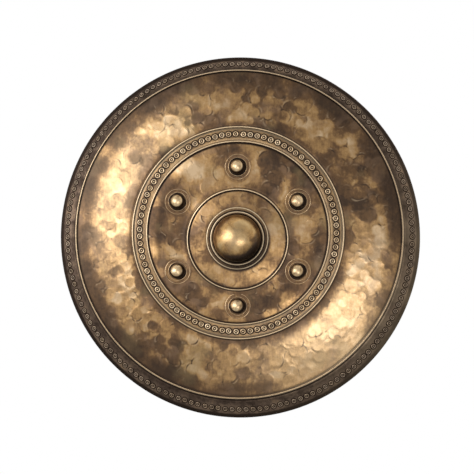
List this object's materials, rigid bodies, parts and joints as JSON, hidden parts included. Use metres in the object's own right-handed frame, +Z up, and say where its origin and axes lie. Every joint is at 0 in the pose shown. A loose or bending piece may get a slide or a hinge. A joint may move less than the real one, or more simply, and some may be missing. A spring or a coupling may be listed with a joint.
{
  "type": "round shield",
  "caption": "Round dished bronze shield with ring beads, boss rivets and a central umbo, and an arm strap, swinging hand grip and carrying rings behind.",
  "frame": {"origin": "on the shield's middle line, in the plane that the rolled rim rests on", "axes": "-Y out of the front of the shield, +Y towards the arm, +Z up, +X to the right as seen from the front"},
  "size_m": [0.6, 0.1218, 0.6],
  "materials": {
    "plate_bronze": "hand-hammered bronze with dark antique patina",
    "boss_bronze": "satin polished bronze, dark in the undercuts",
    "fitting_brass": "aged brass",
    "core_steel": "darkened steel",
    "strap_leather": "brown bridle leather, stitched",
    "grip_leather": "dark brown leather"
  },
  "bodies": {
    "shield": {"shield_plate": "plate_bronze", "rim_wire": "core_steel", "umbo_collar": "plate_bronze", "umbo_dome": "boss_bronze", "umbo_stud": "core_steel", "umbo_washer": "core_steel", "umbo_nut": "core_steel", "boss_rivet_right_upper": "boss_bronze", "boss_rivet_top": "boss_bronze", "boss_rivet_left_upper": "boss_bronze", "boss_rivet_left_lower": "boss_bronze", "boss_rivet_bottom": "boss_bronze", "boss_rivet_right_lower": "boss_bronze", "arm_strap": "strap_leather", "strap_rove_left_upper": "fitting_brass", "strap_rove_left_lower": "fitting_brass", "grip_eye_right_upper": "fitting_brass", "grip_eye_right_lower": "fitting_brass", "pad_backing": "grip_leather", "arm_pad": "strap_leather", "ring_clip_top": "fitting_brass", "ring_clip_bottom": "fitting_brass"},
    "grip": {"grip_bail": "core_steel", "grip_wrap": "grip_leather"},
    "top_ring": {"carrying_ring_top": "fitting_brass"},
    "bottom_ring": {"carrying_ring_bottom": "fitting_brass"}
  },
  "joints": [
    {"name": "grip_swing", "type": "hinge", "parent": "shield", "child": "grip", "pos_m": [0.09959, -0.0305, 0.00216], "axis": [0, 0, 1], "range_deg": [-85, 70]},
    {"name": "top_ring_swing", "type": "hinge", "parent": "shield", "child": "top_ring", "pos_m": [0, -0.0378, 0.10416], "axis": [1, 0, 0], "range_deg": [-5, 160]},
    {"name": "bottom_ring_swing", "type": "hinge", "parent": "shield", "child": "bottom_ring", "pos_m": [0, -0.0378, -0.12584], "axis": [1, 0, 0], "range_deg": [-5, 160]}
  ]
}
